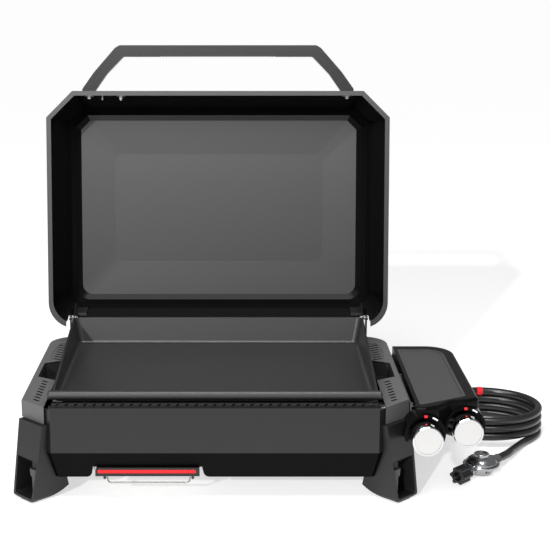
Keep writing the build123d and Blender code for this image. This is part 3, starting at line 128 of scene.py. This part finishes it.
NODE_MAT = {
    # finger_cups take the near-black painted-shade recess material
    "firebox": "body", "firebox_floor": "body", "side_deck_left": "deck", "side_deck_right": "deck", "finger_cups": "cavity",
    "rear_deck": "deck", "front_vent_trim": "body", "griddle_plate": "plate", "plate_rails": "dullsteel", "burner_front": "dullsteel",
    "burner_rear": "dullsteel", "burner_brackets": "dullsteel", "heat_tents": "dullsteel", "igniter_electrodes": "steel",
    "leg_front_left": "leg", "leg_front_right": "leg", "leg_rear_left": "leg", "leg_rear_right": "leg", "foot_pads": "rubber",
    "drip_pan": "dullsteel", "drip_tray_front": "body", "drip_tray_stripe": "red", "drip_tray_bail": "steel", "drip_tray_rails": "dullsteel",
    "lid_shell": "lid", "lid_handle": "handle", "lid_fasteners": "steel", "hinge_bracket_left": "black", "hinge_bracket_right": "black",
    "hinge_lug_left": "black", "hinge_lug_right": "black", "hinge_pins": "bracket", "control_box": "box", "control_box_tray": "tray",
    "control_box_base": "box", "dial_bezels": "box", "dial_marks": "redmark", "knob_skirt_left": "black", "knob_barrel_left": "chrome",
    "knob_cap_left": "face", "knob_skirt_right": "black", "knob_barrel_right": "chrome", "knob_cap_right": "face", "valve_stem_left": "steel",
    "valve_stem_right": "steel", "gas_valves": "valve", "gas_manifold": "valve", "gas_pipe_front": "dullsteel", "gas_pipe_rear": "dullsteel",
    "side_bracket": "bracket", "hose_inlet": "bracket", "hose_lead": "hose", "hose_coil": "hose", "hose_tail": "hose",
    "regulator_body": "zinc", "regulator_dome": "zinc", "regulator_cap": "zinc", "regulator_probe_screws": "steel", "regulator_nut": "nut",
}
for name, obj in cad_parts.items():
    m = M[NODE_MAT[name]]
    obj.data.materials.clear()
    obj.data.materials.append(m)
    for p in obj.data.polygons:
        p.material_index = 0


def second(node, key, test):
    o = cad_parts[node]
    o.data.materials.append(M[key])
    k = len(o.data.materials) - 1
    R = o.matrix_world.to_3x3()
    for p in o.data.polygons:
        c = o.matrix_world @ p.center
        n = (R @ p.normal).normalized()
        if test(c.x * 1000 + X0, c.y * 1000 + Y0, c.z * 1000, n):
            p.material_index = k


# painted shade: the walls of the deck's vent slots get the near-black recess material
for side_ in ("left", "right"):
    second("side_deck_" + side_, "cavity", lambda x, y, z, n: abs(n.z) < 0.35 and 281 < abs(x) < 323 and z > 160 and y > -48)
# painted shade: firebox faces below z 89.5 mm get the darker copy of the body paint
second("firebox", "shade", lambda x, y, z, n: z < 89.5)
# painted shade: inward-facing side walls and bevels of the lid get the darker copy of the lid enamel
second("lid_shell", "lidwall", lambda x, y, z, n: n.y > -0.93 and abs(n.x) + abs(n.z) > 0.3
       and -n.x * x + n.y * (392 - y) + n.z * (430 - z) > 0)
for side_, pod in (("left", (349.4, 123)), ("right", (422.3, 123))):
    second("knob_cap_" + side_, "ring", lambda x, y, z, n, pod=pod: math.hypot(x - pod[0], z - pod[1]) > 21.5 or n.y > -0.5)
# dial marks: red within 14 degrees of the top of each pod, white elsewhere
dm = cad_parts["dial_marks"]
dm.data.materials.append(M["white"])
for p in dm.data.polygons:
    c = dm.matrix_world @ p.center
    best = min(((349.4, -50.0), (422.3, -8.0)), key=lambda q: abs(c.x - (q[0] - X0) / 1000))
    dx, dz = c.x * 1000 + X0 - best[0], c.z * 1000 - 123
    p.material_index = 0 if abs(math.degrees(math.atan2(dx, dz))) < 14 else 1


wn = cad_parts["lid_shell"].modifiers.new("even_normals", "WEIGHTED_NORMAL")
wn.mode = "FACE_AREA"
wn.weight = 80
wn.keep_sharp = True


# ------------------------------------------------------------------ helpers
def new_obj(name, bm, material, smooth=True, angle=35):
    me = bpy.data.meshes.new(name)
    bm.to_mesh(me)
    bm.free()
    o = bpy.data.objects.new(name, me)
    bpy.context.scene.collection.objects.link(o)
    me.materials.append(material)
    if smooth:
        for p in me.polygons:
            p.use_smooth = True
        me.set_sharp_from_angle(angle=math.radians(angle))
    return o


def lathe(bm, prof, org, axis, seg=48, ref=None):
    """Ring of revolution: prof = [(radius, along)], mm, round an axis through org (row frame, m)."""
    a = Vector(axis).normalized()
    u = (Vector(ref) if ref else (Vector((0, 0, 1)) if abs(a.z) < 0.9 else Vector((1, 0, 0))))
    u = (u - a * u.dot(a)).normalized()
    v = a.cross(u)
    rings = []
    for r, t in prof:
        ring = []
        for k in range(seg):
            th = 2 * math.pi * k / seg
            ring.append(bm.verts.new(org + a * (t / 1000) + (u * math.cos(th) + v * math.sin(th)) * (r / 1000)))
        rings.append(ring)
    for r0, r1 in zip(rings, rings[1:]):
        for k in range(seg):
            bm.faces.new((r0[k], r0[(k + 1) % seg], r1[(k + 1) % seg], r1[k]))
    for ring, rev in ((rings[0], True), (rings[-1], False)):
        if (prof[0][0] if rev else prof[-1][0]) > 0.01:
            bm.faces.new(list(reversed(ring)) if rev else ring)
    bmesh.ops.recalc_face_normals(bm, faces=bm.faces)


# ------------------------------------------------------------------ moulded posts inside the leg recesses
def post(name, sx, rear):
    """Tapered moulded post with a screw boss, standing at the back of a leg's recess."""
    r2 = math.sqrt(0.5)
    bm = bmesh.new()
    cen = Vector((-302.5 + r2 * 3 + r2 * 3, -25.0 - r2 * 3 + r2 * 3, 0))
    t, n = Vector((r2, -r2, 0)), Vector((r2, r2, 0))
    prof = [(14.0, 5.0, 4.0), (16.0, 6.2, 5.0), (41.0, 6.6, 5.4), (42.5, 8.6, 7.0), (45.5, 9.0, 7.4), (56.0, 9.6, 8.0)]
    rings = []
    for z, hw, hd in prof:
        ring = []
        for a, b in ((-1, -0.6), (-0.6, -1), (0.6, -1), (1, -0.6), (1, 1), (-1, 1)):
            q = cen - n * 6 + t * (a * hw) + n * (b * hd)
            x, y = q.x, q.y
            if rear:
                x, y = x - 10.4, -y + 365.4
            ring.append(bm.verts.new(P(x if sx > 0 else -x, y, z)))
        rings.append(ring)
    for r0, r1 in zip(rings, rings[1:]):
        for k in range(6):
            bm.faces.new((r0[k], r0[(k + 1) % 6], r1[(k + 1) % 6], r1[k]))
    bm.faces.new(list(reversed(rings[0])))
    bm.faces.new(rings[-1])
    bmesh.ops.recalc_face_normals(bm, faces=bm.faces)
    o = new_obj(name, bm, M["post"], angle=20)
    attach(o, "cook_box")
    return o


for sx_, side_ in ((1, "left"), (-1, "right")):
    for rear_, end_ in ((False, "front"), (True, "rear")):
        post("leg_post_%s_%s" % (end_, side_), sx_, rear_)


# ------------------------------------------------------------------ hose
REG = (470.0, 88.0)
UX, UY = 0.70, 0.714
CX, CY, CA, CB = 521.0, 311.0, 95.0, 82.0
PITCH, ZB = 15.2, 7.55
TURN = 1300.0
LEAD = [(385, 114, 97), (385, 160, 97), (391, 204, 90), (404, 247, 78), (418, 284, 68.5)]
TAIL = [(573.47, 232.87, 7.55), (557.47, 205.61, 9.0), (542.89, 177.76, 12.6), (527.47, 146.62, 16.05), (506.47, 125.2, 16.05)]
route = [P(*p) for p in LEAD]
N = int(round(TURN / 20))
for k in range(N + 1):
    t = k / N
    th = math.radians(180 - TURN * t)
    f = 1.0 / math.cos(math.radians(TURN / N / 2))
    z = ZB + PITCH * TURN / 360 * (1 - t)
    if k == 0:
        z += 0.5
    wob = 1 + 0.006 * math.sin(3.1 * math.radians(TURN * t) + 0.7)
    route.append(P(CX + CA * f * wob * math.cos(th), CY + CB * f * wob * math.sin(th), z))
route += [P(*p) for p in TAIL]
cu = bpy.data.curves.new("hose", "CURVE")
cu.dimensions = "3D"
sp = cu.splines.new("NURBS")
sp.points.add(len(route) - 1)
for q, p in zip(sp.points, route):
    q.co = (*p, 1)
sp.use_endpoint_u = True
sp.order_u = 3
sp.resolution_u = 6
cu.bevel_depth = 0.0075
cu.bevel_resolution = 6
cu.use_fill_caps = True
hose = bpy.data.objects.new("gas_hose", cu)
bpy.context.scene.collection.objects.link(hose)
cu.materials.append(M["hose"])
for s_ in cu.splines:
    s_.use_smooth = True
# points along the hose's centre line (the curve without bevel, as a mesh)
tmp = cu.copy(); tmp.bevel_depth = 0
to = bpy.data.objects.new("tmp_len", tmp); bpy.context.scene.collection.objects.link(to)
me = bpy.data.meshes.new_from_object(to)
vs = [v.co.copy() for v in me.vertices]
bpy.data.objects.remove(to); 

# red tag round the top strand at the back of the coil
tag_at = min(range(len(vs)), key=lambda i: (vs[i] - P(519, 393, 58.8)).length)
tb = bmesh.new()
dirv = (vs[tag_at + 1] - vs[tag_at - 1]).normalized()
lathe(tb, [(7.55, -5.5), (8.1, -5.3), (8.15, -4.8), (8.15, 4.8), (8.1, 5.3), (7.55, 5.5)], vs[tag_at], dirv, 40)
tag = new_obj("hose_tag", tb, M["tagred"])

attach(hose, "cook_box")
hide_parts("hose_lead", "hose_coil", "hose_tail")
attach(tag, "cook_box")

# ------------------------------------------------------------------ light, floor, camera
floor_bm = bmesh.new()
bmesh.ops.create_grid(floor_bm, x_segments=2, y_segments=2, size=60)
fm = mat("floor_white", (0.66, 0.66, 0.66), rough=0.9, rough_var=0.02, spec=0.0, grain=0.05, bump=0.00001, col_var=0.004)
fb = next(n for n in fm.node_tree.nodes if n.type == "BSDF_PRINCIPLED")
fb.inputs["Emission Color"].default_value = (1, 1, 1, 1)
fb.inputs["Emission Strength"].default_value = 0.60
fl = new_obj("floor", floor_bm, fm, smooth=False)
fl.location = (0, 0, -0.0004)

world = bpy.data.worlds.new("studio")
bpy.context.scene.world = world
world.use_nodes = True
bg = world.node_tree.nodes["Background"]
bg.inputs[0].default_value = (1.0, 1.0, 1.0, 1)
bg.inputs[1].default_value = 0.28


def area(name, loc, target, size, power, sy=None):
    d = bpy.data.lights.new(name, "AREA")
    d.energy = power
    d.shape = "RECTANGLE"
    d.size = size
    d.size_y = sy or size
    o = bpy.data.objects.new(name, d)
    bpy.context.scene.collection.objects.link(o)
    o.location = loc
    dv = (Vector(target) - Vector(loc)).normalized()
    o.rotation_euler = dv.to_track_quat("-Z", "Y").to_euler()
    return o


sun = bpy.data.lights.new("key_sun", "SUN")
sun.energy = 2.4
sun.angle = math.radians(1.6)
so = bpy.data.objects.new("key_sun", sun)
bpy.context.scene.collection.objects.link(so)
so.rotation_euler = Vector((640, 1530, -690)).normalized().to_track_quat("-Z", "Y").to_euler()
area("lid_light", (-0.05, -0.55, 1.30), (-0.03, 0.22, 0.64), 1.2, 26, 0.55)
area("front_box", (0.0, -3.4, 1.15), (0, 0.2, 0.50), 5.0, 30, 2.2)

cam = bpy.data.cameras.new("cam")
co = bpy.data.objects.new("cam", cam)
bpy.context.scene.collection.objects.link(co)
cam.sensor_width = 36
cam.lens = 36 * 1366.5 / 550
cam.shift_x = (275 - 239.1) / 550
cam.shift_y = 0.0
cam.clip_end = 120
co.location = P(40.3, -2205.0, 711.3 + 168)
co.rotation_euler = (math.radians(90 - 12.68), 0, 0)
bpy.context.scene.camera = co
bpy.context.scene.view_settings.view_transform = "Standard"
